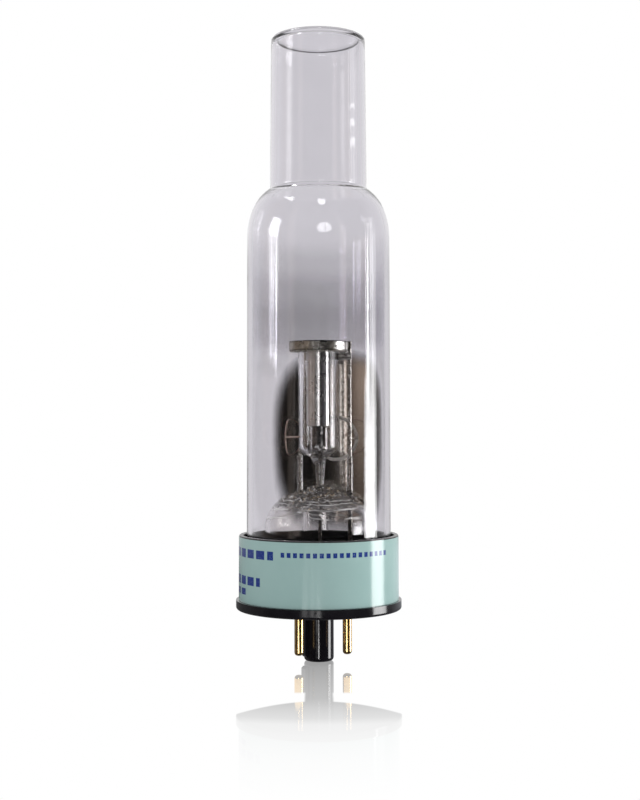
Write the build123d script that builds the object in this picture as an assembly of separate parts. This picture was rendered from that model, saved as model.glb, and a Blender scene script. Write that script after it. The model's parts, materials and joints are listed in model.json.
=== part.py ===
from build123d import *
import os
from math import cos, sin, sqrt, radians, hypot, atan2, degrees

os.makedirs("parts", exist_ok=True)

# Hollow cathode lamp. Millimetres, +Z along the lamp's axis from the base to the window.
# The origin is the centre of the base's seating face: the pins and the guide spigot reach below it.
# The front, where the label faces, is -Y.

# ---- driving dimensions ----
# bulb and window tube
BULB_R = 18.5              # 37 mm lamp glass
BULB_WALL = 1.2
BULB_FOOT_Z = 7.0          # lower edge of the glass, inside the base
SHOULDER_Z = 95.6          # the shoulder starts here
SHOULDER_MID = (17.2, 102.65)
SEAM_Z = 107.95            # bulb and window tube are fused here
SEAM_R = 13.05
SEAM_INNER_R = 11.4
INNER_SHOULDER_END = (12.3, 105.75)   # inside, the shoulder turns into the tube in one smooth curve
TUBE_R_LOW = 12.62
TUBE_R_TOP = 12.33
TUBE_WALL = 1.25
WINDOW_Z = 147.2           # inner face of the window
WINDOW_T = 1.05
WINDOW_EDGE_R = 0.85

# re-entrant foot
FOOT_R = 13.8
FOOT_WALL = 1.2
FOOT_DOME_Z = 20.6
FOOT_DOME_R = 8.5
FLARE_Z = 12.5
EXHAUST_XY = (-0.84, 4.25)
EXHAUST_R = 3.55
EXHAUST_WALL = 0.95
EXHAUST_TOP_Z = 25.75      # melted into the underside of the press
EXHAUST_TIP_Z = 4.9

# electrodes
CATHODE_R = 3.1
CATHODE_Z = (46.55, 67.2)
CATHODE_BORE_R = 1.6
CATHODE_BORE_DEPTH = 17.0
STUD_X = -0.3
STUD_R = 1.5
STUD_Z = 40.2
LEAD_X = 0.35
LEAD_R = 0.45
SHIELD_R = 5.25
SHIELD_WALL = 1.0
SHIELD_Z = (41.7, 65.7)
MICA_R = 7.45
MICA_T = 0.25
RING_R = 7.65
RING_T = 0.3
RING_H = 2.45
ROD_R = 0.45
ROD_XY = (RING_R + ROD_R, 0.0)   # tangent to the anode ring
SEAL_R = 0.6
SEAL_TOP_Z = 29.4
SEAL_LOW_Z = 14.0
LEFT_ROD_XY = (-4.93, 3.95)
LEFT_ROD_R = 0.35
BEAD_R = 0.78
BEAD_TOP_Z = 38.8

# getters
GETTER_W = 0.8             # radial width of the channel
GETTER_D = 0.5             # its depth
GETTER_WALL = 0.15
RIGHT_GETTER = ((4.58, 6.9, 43.3), 5.55, (0.0, -1.0))
LEFT_GETTER = ((-6.75, 9.0, 43.7), 5.3, (0.92, -0.39))

# base
FLANGE_R = 21.2
FLANGE_T = 2.4
CUP_R = 20.4
CUP_WALL = 1.1
CUP_TOP_Z = 18.85
FLOOR_T = 2.6
SPIGOT_R = 3.8
SPIGOT_LEN = 13.2
SPIGOT_BORE_R = 2.7
KEY_REACH = 4.6
KEY_W = 2.0
KEY_END_Z = -12.0
KEY_ANGLE = 210.5
PIN_CIRCLE_R = 17.45 / 2
PIN_R = 1.15
PIN_LEN = 10.8
PIN_TOP_Z = 4.2
PIN_SHANK_R = 0.95         # the part moulded into the base is turned down
PIN_1_ANGLE = 235.0        # anode
PIN_3_ANGLE = 325.0        # cathode
LABEL_T = 0.12
LABEL_Z = (2.45, 18.45)
WIRE_R = 0.35


def profile(edges):
    """A face in the XZ plane from edges that follow each other."""
    return Face(Wire(edges))


def turned(edges):
    return revolve(profile(edges), axis=Axis.Z, revolution_arc=360)


def path_points(points):
    """Straight edges through points of radius and height."""
    p = [(r, 0, z) for r, z in points]
    return [Line(a, b) for a, b in zip(p, p[1:])]


def lathe(points):
    return turned(path_points(points + [points[0]]))


def tube(radius, bore, z0, z1, xy=(0, 0)):
    return Pos(xy[0], xy[1], 0) * lathe([(bore, z0), (radius, z0), (radius, z1), (bore, z1)])


def rod(radius, z0, z1, xy=(0, 0)):
    return Pos(xy[0], xy[1], (z0 + z1) / 2) * Cylinder(radius, z1 - z0)


def solid_of(shape):
    """The single solid of a shape, without the small scraps a cut can leave."""
    found = sorted(shape.solids(), key=lambda s: s.volume)
    return found[-1]


def arc(p, q, tangent):
    return TangentArc((p[0], 0, p[1]), (q[0], 0, q[1]), tangent=(tangent[0], 0, tangent[1]))


# ---- bulb: tube and shoulder in one blown piece ----
def shoulder(r0, z0, mid, end):
    """Two tangent arcs from the upright wall over the shoulder to the seam."""
    first = arc((r0, z0), mid, (0, 1))
    slope = first % 1
    return [first, arc(mid, end, (slope.X, slope.Z))]


inner_r = BULB_R - BULB_WALL
outer = shoulder(BULB_R, SHOULDER_Z, SHOULDER_MID, (SEAM_R, SEAM_Z))
inner = shoulder(inner_r, SHOULDER_Z, (15.95, 101.75), INNER_SHOULDER_END)
slope = inner[1] % 1
turn = atan2(-slope.X, slope.Z)
blend_r = (INNER_SHOULDER_END[0] - SEAM_INNER_R) / (1 - cos(turn))
blend_z = INNER_SHOULDER_END[1] + blend_r * sin(turn)
bulb_envelope = turned(
    [
        Line((inner_r, 0, BULB_FOOT_Z), (BULB_R, 0, BULB_FOOT_Z)),
        Line((BULB_R, 0, BULB_FOOT_Z), (BULB_R, 0, SHOULDER_Z)),
        *outer,
        Line((SEAM_R, 0, SEAM_Z), (SEAM_INNER_R, 0, SEAM_Z)),
        Line((SEAM_INNER_R, 0, SEAM_Z), (SEAM_INNER_R, 0, blend_z)),
        arc((SEAM_INNER_R, blend_z), INNER_SHOULDER_END, (0, -1)),
        *inner,
        Line((inner_r, 0, SHOULDER_Z), (inner_r, 0, BULB_FOOT_Z)),
    ]
)

# ---- window tube, flared a little where it is fused on ----
tube_in_low = TUBE_R_LOW - TUBE_WALL
tube_in_top = TUBE_R_TOP - TUBE_WALL
window_tube = turned(
    [
        Line((SEAM_INNER_R, 0, SEAM_Z), (SEAM_R, 0, SEAM_Z)),
        arc((TUBE_R_LOW, 109.0), (SEAM_R, SEAM_Z), (0, -1)),
        Line((TUBE_R_LOW, 0, 109.0), (TUBE_R_TOP, 0, WINDOW_Z)),
        Line((TUBE_R_TOP, 0, WINDOW_Z), (tube_in_top - 0.7, 0, WINDOW_Z)),
        arc((tube_in_top, WINDOW_Z - 0.9), (tube_in_top - 0.7, WINDOW_Z), (0, 1)),
        Line((tube_in_top, 0, WINDOW_Z - 0.9), (tube_in_low, 0, 109.0)),
        Line((tube_in_low, 0, 109.0), (SEAM_INNER_R, 0, SEAM_Z)),
    ]
)

# ---- end window: a disc, its outer edge melted round ----
end_window = rod(TUBE_R_TOP, WINDOW_Z, WINDOW_Z + WINDOW_T)
end_window = fillet(end_window.edges().group_by(Axis.Z)[-1], WINDOW_EDGE_R)

# ---- re-entrant foot with its press ----
dome_x = FOOT_R - FOOT_DOME_R
dome_top = FOOT_DOME_Z + FOOT_DOME_R
foot_in = FOOT_R - FOOT_WALL
ridge_r = 10.0
ridge_z = FOOT_DOME_Z + sqrt((FOOT_DOME_R - FOOT_WALL) ** 2 - (ridge_r - dome_x) ** 2)
flare_t = 1.2
stem_foot = turned(
    [
        Line((BULB_R, 0, BULB_FOOT_Z - flare_t), (BULB_R, 0, BULB_FOOT_Z)),
        Line((BULB_R, 0, BULB_FOOT_Z), (inner_r, 0, BULB_FOOT_Z)),
        arc((FOOT_R, FLARE_Z), (inner_r, BULB_FOOT_Z), (0, -1)),
        Line((FOOT_R, 0, FLARE_Z), (FOOT_R, 0, FOOT_DOME_Z)),
        arc((FOOT_R, FOOT_DOME_Z), (dome_x, dome_top), (0, 1)),
        Line((dome_x, 0, dome_top), (0, 0, dome_top)),
        Line((0, 0, dome_top), (0, 0, 24.8)),
        arc((0, 24.8), (ridge_r, ridge_z), (1, 0)),
        ThreePointArc(
            (ridge_r, 0, ridge_z),
            (11.55, 0, FOOT_DOME_Z + sqrt((FOOT_DOME_R - FOOT_WALL) ** 2 - (11.55 - dome_x) ** 2)),
            (foot_in, 0, FOOT_DOME_Z),
        ),
        Line((foot_in, 0, FOOT_DOME_Z), (foot_in, 0, FLARE_Z)),
        arc((foot_in, FLARE_Z), (BULB_R - 1.6, BULB_FOOT_Z - flare_t), (0, -1)),
        Line((BULB_R - 1.6, 0, BULB_FOOT_Z - flare_t), (BULB_R, 0, BULB_FOOT_Z - flare_t)),
    ]
)
# melted glass round the leads: a low mound in the middle, a cone at each rod, and drawn lumps
stem_foot += Pos(LEAD_X, 0, 29.5) * Cone(3.4, 1.5, 2.2)
stem_foot += Pos(ROD_XY[0], ROD_XY[1], SEAL_TOP_Z - 1.3) * Cone(2.1, BEAD_R + 0.2, 2.6)
stem_foot += Pos(LEFT_ROD_XY[0], LEFT_ROD_XY[1], SEAL_TOP_Z - 1.0) * Cone(1.9, BEAD_R + 0.2, 2.0)
for x, y, z, r in (
    (-2.35, 0.9, 29.6, 1.55),
    (3.35, 0.9, 29.5, 1.5),
    (-2.4, -5.4, 28.2, 1.5),
    (4.9, -5.2, 28.1, 1.5),
    (2.3, -3.2, 28.6, 1.35),
):
    stem_foot += Pos(x, y, z) * Sphere(r)
stem_foot -= rod(LEAD_R, 20, 40, (LEAD_X, 0))
stem_foot -= rod(SEAL_R, 20, SEAL_TOP_Z, ROD_XY)
stem_foot -= rod(2.2, SEAL_TOP_Z, 40, ROD_XY)
stem_foot -= rod(2.2, SEAL_TOP_Z, 40, LEFT_ROD_XY)
stem_foot -= rod(LEFT_ROD_R, 27.4, 40, LEFT_ROD_XY)
stem_foot -= rod(1.3, 20, 33, EXHAUST_XY)
stem_foot -= rod(EXHAUST_R, 20, EXHAUST_TOP_Z, EXHAUST_XY)
stem_foot = solid_of(stem_foot)

# ---- exhaust tube under the press, tipped off ----
exhaust_in = EXHAUST_R - EXHAUST_WALL
exhaust_end_z = EXHAUST_TIP_Z + 0.35 + EXHAUST_R      # centre of its round end
exhaust_tube = rod(EXHAUST_R, exhaust_end_z, EXHAUST_TOP_Z) + Pos(0, 0, exhaust_end_z) * Sphere(EXHAUST_R)
exhaust_tube += Pos(0, 0, EXHAUST_TIP_Z + 0.4) * Cone(0.45, 1.3, 0.8)
exhaust_tube -= rod(exhaust_in, exhaust_end_z, EXHAUST_TOP_Z + 1)
exhaust_tube -= Pos(0, 0, exhaust_end_z) * Sphere(exhaust_in)
exhaust_tube = Pos(EXHAUST_XY[0], EXHAUST_XY[1], 0) * exhaust_tube

# ---- cathode: hollow, closed below, open towards the window ----
cathode_cup = rod(CATHODE_R, *CATHODE_Z) - rod(
    CATHODE_BORE_R, CATHODE_Z[1] - CATHODE_BORE_DEPTH, CATHODE_Z[1] + 1
)
cathode_cup = chamfer(
    cathode_cup.edges().filter_by(GeomType.CIRCLE).filter_by(lambda e: abs(e.radius - CATHODE_R) < 1e-6),
    0.15,
)

# stud under it, with a crimped waist
stud = lathe(
    [
        (0, STUD_Z),
        (1.0, STUD_Z),
        (STUD_R, STUD_Z + 0.9),
        (STUD_R, 43.1),
        (STUD_R - 0.22, 43.45),
        (STUD_R - 0.22, 43.85),
        (STUD_R, 44.2),
        (STUD_R, CATHODE_Z[0]),
        (0, CATHODE_Z[0]),
    ]
)
cathode_stud = Pos(STUD_X, 0, 0) * stud
cathode_lead_rod = rod(LEAD_R, SEAL_LOW_Z, STUD_Z, (LEAD_X, 0))

# thin glass liner round the stud, standing on the bottom of the shield
stud_liner = tube(2.45, 2.13, 40.05, 46.4, (0.28, 0))

# ---- cathode shield: glass sleeve, rounded below and drawn to a neck ----
sz0, sz1 = SHIELD_Z
shield_in = SHIELD_R - SHIELD_WALL
body = turned(
    [
        Line((0, 0, 40.05), (0, 0, 36.9)),
        Line((0, 0, 36.9), (1.45, 0, 36.9)),
        arc((SHIELD_R, sz0), (3.75, 39.2), (0, -1)),
        ThreePointArc((3.75, 0, 39.2), (2.05, 0, 38.35), (1.45, 0, 36.9)),
        Line((SHIELD_R, 0, sz0), (SHIELD_R, 0, sz1)),
        Line((SHIELD_R, 0, sz1), (shield_in, 0, sz1)),
        Line((shield_in, 0, sz1), (shield_in, 0, sz0 + 0.1)),
        arc((shield_in, sz0 + 0.1), (2.9, 40.05), (0, -1)),
        Line((2.9, 0, 40.05), (0, 0, 40.05)),
    ]
)
neck = Pos(LEAD_X, 0, 0) * lathe(
    [(0, 30.6), (1.5, 30.6), (1.05, 31.6), (1.0, 32.6), (1.45, 37.3), (1.3, 38.2), (0, 38.2)]
)
cathode_shield = solid_of(body + neck - rod(LEAD_R, 29, 41, (LEAD_X, 0)) - (stem_foot & rod(2, 29, 31.5, (LEAD_X, 0))))

# ---- mica washer, anode ring ----
mica_z = sz1
mica_disc = tube(MICA_R, CATHODE_R + 0.05, mica_z, mica_z + MICA_T)
mica_disc -= rod(LEFT_ROD_R, mica_z - 1, mica_z + 1, LEFT_ROD_XY)
mica_disc = solid_of(mica_disc)
ring_z = mica_z + MICA_T
anode_ring = tube(RING_R, RING_R - RING_T, ring_z, ring_z + RING_H)
# the band's ends overlap beside the rod, and the lap is spot welded
lap = tube(RING_R + 0.18, RING_R - 0.02, ring_z + 0.15, ring_z + RING_H - 0.15)
lap = lap & (Rot(0, 0, -16) * Pos(7.6, 0, ring_z) * Box(3.0, 2.6, 8))
anode_ring = solid_of(anode_ring + lap)

# ---- rods and the glass beads on them ----
anode_support_rod = rod(ROD_R, SEAL_TOP_Z, ring_z + RING_H + 0.1, ROD_XY)
anode_support_rod = solid_of(anode_support_rod - anode_ring)
anode_seal_rod = rod(SEAL_R, SEAL_LOW_Z, SEAL_TOP_Z, ROD_XY)
left_support_rod = rod(LEFT_ROD_R, 27.4, ring_z + 0.6, LEFT_ROD_XY)
right_bead_sleeve = tube(BEAD_R, ROD_R, SEAL_TOP_Z, BEAD_TOP_Z, ROD_XY)
right_bead_sleeve = fillet(
    right_bead_sleeve.edges().group_by(Axis.Z)[-1].filter_by(lambda e: e.length > 4), 0.2
)
left_bead_sleeve = tube(BEAD_R, LEFT_ROD_R, SEAL_TOP_Z, BEAD_TOP_Z + 0.2, LEFT_ROD_XY)
left_bead_sleeve = fillet(
    left_bead_sleeve.edges().group_by(Axis.Z)[-1].filter_by(lambda e: e.length > 4), 0.2
)

# ---- clip: a strap round the back of the shield, folded where it meets the right rod ----
cz0, cz1 = 63.75, 65.55
band = tube(SHIELD_R + 0.25, SHIELD_R, cz0, cz1)
sector = Face(
    Wire(
        [
            Line((0, 0, cz0 - 1), (9, -1.05, cz0 - 1)),
            Line((9, -1.05, cz0 - 1), (9, 9, cz0 - 1)),
            Line((9, 9, cz0 - 1), (-9, 9, cz0 - 1)),
            Line((-9, 9, cz0 - 1), (-9, 6.6, cz0 - 1)),
            Line((-9, 6.6, cz0 - 1), (0, 0, cz0 - 1)),
        ]
    )
)
band = band & extrude(sector, 5)
t = 0.2
fold_points = [
    (5.2, -ROD_R, cz1),
    (5.2, -ROD_R - t, cz1),
    (5.2, -ROD_R - t, cz1 - 0.75),
    (5.2, -ROD_R - 0.65, cz1 - 1.0),
    (5.2, -ROD_R - 0.65, cz1 - 1.2),
    (5.2, -ROD_R - t, cz1 - 1.45),
    (5.2, -ROD_R - t, cz0),
    (5.2, -ROD_R, cz0),
    (5.2, -ROD_R, cz1 - 1.4),
    (5.2, -ROD_R - 0.4, cz1 - 1.15),
    (5.2, -ROD_R - 0.4, cz1 - 1.05),
    (5.2, -ROD_R, cz1 - 0.8),
]
fold = Face(Wire([Line(a, b) for a, b in zip(fold_points, fold_points[1:] + fold_points[:1])]))
lug = extrude(fold, 3.2, dir=(1, 0, 0))
tie = Pos(5.75 * cos(radians(141.3)), 5.75 * sin(radians(141.3)), (cz0 + cz1) / 2) * (
    Rot(0, 0, 141.3) * Box(0.7, 0.5, cz1 - cz0)
)
# its left end is welded to the side of the left rod and stands out past it
tie += Rot(0, 0, 141.3) * Pos(7.25, LEFT_ROD_R + 0.1, cz1 - 0.55) * Box(3.7, 0.2, 1.1)
shield_clip = solid_of(
    (band + lug + tie)
    - rod(SHIELD_R, cz0 - 1, cz1 + 1)
    - rod(ROD_R, cz0 - 1, cz1 + 1, ROD_XY)
    - rod(LEFT_ROD_R, cz0 - 1, cz1 + 1, LEFT_ROD_XY)
)


# ---- getters: channel rings on short strips ----
def getter(centre, radius, normal):
    """A U-channel ring whose open side faces along normal (in plan)."""
    w, d, s = GETTER_W / 2, GETTER_D / 2, GETTER_WALL
    section = lathe(
        [
            (radius - w, -d),
            (radius + w, -d),
            (radius + w, d),
            (radius + w - s, d),
            (radius + w - s, -d + s),
            (radius - w + s, -d + s),
            (radius - w + s, d),
            (radius - w, d),
        ]
    )
    turn = degrees(atan2(normal[1], normal[0]))
    return Pos(*centre) * Rot(0, 0, turn) * Rot(0, 90, 0) * section


def strip(a, b, z, height=0.45, thickness=0.18):
    """An upright flat strip from a to b in plan."""
    length = hypot(b[0] - a[0], b[1] - a[1])
    turn = degrees(atan2(b[1] - a[1], b[0] - a[0]))
    return Pos((a[0] + b[0]) / 2, (a[1] + b[1]) / 2, z) * Rot(0, 0, turn) * Box(length, thickness, height)


right_getter_ring = getter(*RIGHT_GETTER)
(gx, gy, gz), gr, _ = RIGHT_GETTER
right_getter_strut = solid_of(
    strip(ROD_XY, (gx + gr, gy - GETTER_D / 2 + 0.1), gz)
    - anode_support_rod
    - right_getter_ring
)
left_getter_ring = getter(*LEFT_GETTER)
(gx, gy, gz), gr, (nx, ny) = LEFT_GETTER
near = (gx + gr * ny, gy - gr * nx)
left_getter_strut = solid_of(
    strip(LEFT_ROD_XY, near, gz) - left_support_rod - left_getter_ring
)

# ---- base: cup, flange, floor, spigot and key in one moulding ----
cup_in = CUP_R - CUP_WALL
base_shell = lathe(
    [
        (0, -SPIGOT_LEN),
        (SPIGOT_R, -SPIGOT_LEN),
        (SPIGOT_R, 0),
        (FLANGE_R, 0),
        (FLANGE_R, FLANGE_T),
        (CUP_R, FLANGE_T),
        (CUP_R, CUP_TOP_Z),
        (cup_in, CUP_TOP_Z),
        (cup_in, FLOOR_T),
        (SPIGOT_BORE_R, FLOOR_T),
        (SPIGOT_BORE_R, -SPIGOT_LEN + 1.6),
        (0, -SPIGOT_LEN + 1.6),
    ]
)


def circles(shape, radius, z):
    return [
        e
        for e in shape.edges().filter_by(GeomType.CIRCLE)
        if abs(e.radius - radius) < 1e-4 and abs(e.center().Z - z) < 1e-4
    ]


base_shell = fillet(circles(base_shell, SPIGOT_R, -SPIGOT_LEN), 0.9)
base_shell = fillet(circles(base_shell, FLANGE_R, 0), 0.7)
base_shell = fillet(circles(base_shell, CUP_R, CUP_TOP_Z), 0.25)
base_shell = fillet(circles(base_shell, cup_in, CUP_TOP_Z), 0.3)
key = Pos(KEY_REACH / 2, 0, KEY_END_Z / 2) * Box(KEY_REACH, KEY_W, -KEY_END_Z)
key = chamfer(key.edges().filter_by(Axis.Y).group_by(Axis.X)[-1].group_by(Axis.Z)[0], 0.5)
key = key - rod(SPIGOT_R - 0.4, -20, 1)
base_shell = base_shell + Rot(0, 0, KEY_ANGLE) * key


def pin_xy(angle):
    return (PIN_CIRCLE_R * cos(radians(angle)), PIN_CIRCLE_R * sin(radians(angle)))


for angle in (PIN_1_ANGLE, PIN_3_ANGLE):
    base_shell -= rod(PIN_SHANK_R, -1, FLOOR_T + 1, pin_xy(angle))
    # each hole is countersunk where the pin's shoulder comes up to the seating face
    base_shell -= Pos(*pin_xy(angle), 0.1) * Cone(PIN_R + 0.2, PIN_SHANK_R, 0.4)
base_shell = solid_of(base_shell)


# ---- pins: hollow, round tipped ----
def base_pin(angle):
    body = rod(PIN_R, -PIN_LEN, 0)
    body = fillet(circles(body, PIN_R, -PIN_LEN), 0.85)
    body += rod(PIN_SHANK_R, 0, PIN_TOP_Z)
    body -= rod(0.6, -PIN_LEN + 1.0, PIN_TOP_Z + 1)
    x, y = pin_xy(angle)
    return Pos(x, y, 0) * body


pin_1 = base_pin(PIN_1_ANGLE)
pin_3 = base_pin(PIN_3_ANGLE)

# ---- label: one turn round the cup, its ends meeting at the back ----
label_band = tube(CUP_R + LABEL_T, CUP_R, *LABEL_Z)
label_band = solid_of(label_band - Pos(0, CUP_R, 10) * Box(0.3, 3, 30))

# ---- cement between the glass and the cup ----
basing_cement = lathe(
    [
        (17.2, FLOOR_T),
        (cup_in, FLOOR_T),
        (cup_in, 11.5),
        (BULB_R, 11.5),
        (BULB_R, BULB_FOOT_Z - flare_t),
        (17.2, BULB_FOOT_Z - flare_t),
    ]
)


# ---- wires from the leads to the pins ----
def wire_to_pin(points, radii):
    route = FilletPolyline(*points, radius=radii)
    start = Plane(origin=points[0], z_dir=(0, 0, -1))
    made = sweep(start * Circle(WIRE_R), path=route)
    expected = 3.14159265 * WIRE_R**2 * route.length
    print("wire volume", round(made.volume, 3), "from section and length", round(expected, 3))
    return made


x1, y1 = pin_xy(PIN_1_ANGLE)
x3, y3 = pin_xy(PIN_3_ANGLE)
wire_end = -PIN_LEN + 1.8
anode_lead_wire = wire_to_pin(
    [
        (ROD_XY[0], ROD_XY[1], SEAL_LOW_Z),
        (ROD_XY[0], ROD_XY[1], 9.8),
        (4.6, -9.6, 8.6),
        (x1, y1, 9.4),
        (x1, y1, wire_end),
    ],
    [2.0, 2.5, 2.0],
)
cathode_lead_wire = wire_to_pin(
    [
        (LEAD_X, 0, SEAL_LOW_Z),
        (LEAD_X, 0, 7.6),
        (x3, y3, 6.2),
        (x3, y3, wire_end),
    ],
    [1.6, 1.4],
)

nodes = {
    "bulb_envelope": bulb_envelope,
    "window_tube": window_tube,
    "end_window": end_window,
    "stem_foot": stem_foot,
    "exhaust_tube": exhaust_tube,
    "cathode_cup": cathode_cup,
    "cathode_stud": cathode_stud,
    "cathode_lead_rod": cathode_lead_rod,
    "stud_liner": stud_liner,
    "cathode_shield": cathode_shield,
    "mica_disc": mica_disc,
    "anode_ring": anode_ring,
    "anode_support_rod": anode_support_rod,
    "anode_seal_rod": anode_seal_rod,
    "left_support_rod": left_support_rod,
    "right_bead_sleeve": right_bead_sleeve,
    "left_bead_sleeve": left_bead_sleeve,
    "shield_clip": shield_clip,
    "right_getter_ring": right_getter_ring,
    "right_getter_strut": right_getter_strut,
    "left_getter_ring": left_getter_ring,
    "left_getter_strut": left_getter_strut,
    "base_shell": base_shell,
    "pin_1": pin_1,
    "pin_3": pin_3,
    "label_band": label_band,
    "basing_cement": basing_cement,
    "anode_lead_wire": anode_lead_wire,
    "cathode_lead_wire": cathode_lead_wire,
}
for name, shape in nodes.items():
    export_step(shape, f"parts/{name}.step")
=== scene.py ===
import json
import math

import bpy
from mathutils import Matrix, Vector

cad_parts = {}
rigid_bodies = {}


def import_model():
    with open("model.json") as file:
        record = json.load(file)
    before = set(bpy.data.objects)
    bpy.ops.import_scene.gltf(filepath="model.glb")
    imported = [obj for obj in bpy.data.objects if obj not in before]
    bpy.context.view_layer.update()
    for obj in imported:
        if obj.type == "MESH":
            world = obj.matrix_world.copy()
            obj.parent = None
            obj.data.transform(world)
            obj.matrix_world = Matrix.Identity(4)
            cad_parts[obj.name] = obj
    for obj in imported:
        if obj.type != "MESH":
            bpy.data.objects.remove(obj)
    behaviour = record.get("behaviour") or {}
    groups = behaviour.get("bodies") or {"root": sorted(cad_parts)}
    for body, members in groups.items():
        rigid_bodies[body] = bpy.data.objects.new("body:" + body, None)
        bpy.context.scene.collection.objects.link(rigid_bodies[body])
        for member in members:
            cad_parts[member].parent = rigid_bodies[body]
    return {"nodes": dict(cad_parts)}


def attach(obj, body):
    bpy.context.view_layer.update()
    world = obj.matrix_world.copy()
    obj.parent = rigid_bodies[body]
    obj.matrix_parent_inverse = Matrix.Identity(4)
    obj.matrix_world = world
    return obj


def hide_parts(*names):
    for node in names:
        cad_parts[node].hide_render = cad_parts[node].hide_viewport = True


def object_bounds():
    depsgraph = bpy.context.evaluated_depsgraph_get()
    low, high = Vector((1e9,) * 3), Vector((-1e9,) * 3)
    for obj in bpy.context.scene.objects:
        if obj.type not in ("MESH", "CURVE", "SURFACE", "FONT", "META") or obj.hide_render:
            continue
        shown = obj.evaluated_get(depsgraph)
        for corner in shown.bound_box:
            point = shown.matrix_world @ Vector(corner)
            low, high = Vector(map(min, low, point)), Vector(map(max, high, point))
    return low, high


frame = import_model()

CAD_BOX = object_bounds()
MM = 0.001
NODES = frame["nodes"]

# ------------------------------------------------------------------ camera
cam_data = bpy.data.cameras.new("camera")
cam_data.lens = 60.14
cam_data.sensor_width = 36.0
cam_data.shift_x = 0.0018
cam_data.shift_y = -0.079
cam_data.clip_start = 0.01
cam_data.dof.use_dof = False
cam = bpy.data.objects.new("camera", cam_data)
cam.location = (0.0, -0.3464, 0.04912)
cam.rotation_euler = (math.radians(93.4), math.radians(0.09), 0.0)
bpy.context.scene.collection.objects.link(cam)
bpy.context.scene.camera = cam


# ------------------------------------------------------------------ mesh helpers
def arc_points(p, q, tangent, steps):
    """Points of the arc that leaves p along tangent and ends in q. p is left out."""
    tl = math.hypot(*tangent)
    tx, tz = tangent[0] / tl, tangent[1] / tl
    nx, nz = -tz, tx
    dx, dz = q[0] - p[0], q[1] - p[1]
    along = dx * nx + dz * nz
    if abs(along) < 1e-9:
        return [(p[0] + dx * i / steps, p[1] + dz * i / steps) for i in range(1, steps + 1)]
    r = (dx * dx + dz * dz) / (2 * along)
    cx, cz = p[0] + nx * r, p[1] + nz * r
    a0 = math.atan2(p[1] - cz, p[0] - cx)
    a1 = math.atan2(q[1] - cz, q[0] - cx)
    if r > 0:
        while a1 < a0:
            a1 += 2 * math.pi
    else:
        while a1 > a0:
            a1 -= 2 * math.pi
    R = abs(r)
    return [(cx + R * math.cos(a0 + (a1 - a0) * i / steps), cz + R * math.sin(a0 + (a1 - a0) * i / steps)) for i in range(1, steps + 1)]


def end_tangent(p, q, tangent):
    """Direction in which that arc arrives in q."""
    dx, dz = q[0] - p[0], q[1] - p[1]
    tl = math.hypot(*tangent)
    tx, tz = tangent[0] / tl, tangent[1] / tl
    dl2 = dx * dx + dz * dz
    k = 2 * (tx * dx + tz * dz) / dl2
    return (k * dx - tx, k * dz - tz)


def line_points(p, q, steps):
    return [(p[0] + (q[0] - p[0]) * i / steps, p[1] + (q[1] - p[1]) * i / steps) for i in range(1, steps + 1)]


def new_object(name, verts, faces, smooth=True):
    mesh = bpy.data.meshes.new(name)
    mesh.from_pydata([(x * MM, y * MM, z * MM) for x, y, z in verts], [], faces)
    mesh.update()
    if smooth:
        mesh.polygons.foreach_set("use_smooth", [True] * len(mesh.polygons))
    obj = bpy.data.objects.new(name, mesh)
    bpy.context.scene.collection.objects.link(obj)
    return obj


def lathe(name, profile, segments=192, shift=None):
    """Revolve a profile of (radius, height). It runs from the axis to the axis, or it is a closed loop."""
    poles = profile[0][0] < 1e-9 and profile[-1][0] < 1e-9
    verts, faces = [], []
    body = profile[1:-1] if poles else profile
    n = len(body)
    for i in range(segments):
        a = 2 * math.pi * i / segments
        c, s = math.cos(a), math.sin(a)
        for r, z in body:
            if shift:
                ex, ey = shift(r, z)
            else:
                ex = ey = 0.0
            verts.append((r * c + ex, r * s + ey, z))
    for i in range(segments):
        j = (i + 1) % segments
        rng = range(n - 1) if poles else range(n)
        for k in rng:
            m = (k + 1) % n
            faces.append((i * n + k, j * n + k, j * n + m, i * n + m))
    if poles:
        top = len(verts)
        verts.append((0.0, 0.0, profile[0][1]))
        bottom = len(verts)
        verts.append((0.0, 0.0, profile[-1][1]))
        for i in range(segments):
            j = (i + 1) % segments
            faces.append((top, j * n, i * n))
            faces.append((bottom, i * n + n - 1, j * n + n - 1))
    return new_object(name, verts, faces)


def outward(obj):
    """Face normals out of the solid."""
    import bmesh

    bm = bmesh.new()
    bm.from_mesh(obj.data)
    bmesh.ops.recalc_face_normals(bm, faces=bm.faces)
    bm.to_mesh(obj.data)
    bm.free()


def sharp_by_angle(obj, degrees):
    mesh = obj.data
    mesh.polygons.foreach_set("use_smooth", [True] * len(mesh.polygons))
    mesh.set_sharp_from_angle(angle=math.radians(degrees))


# ------------------------------------------------------------------ material helpers
def material(name):
    m = bpy.data.materials.new(name)
    m.use_nodes = True
    m.node_tree.nodes.clear()
    return m


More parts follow.
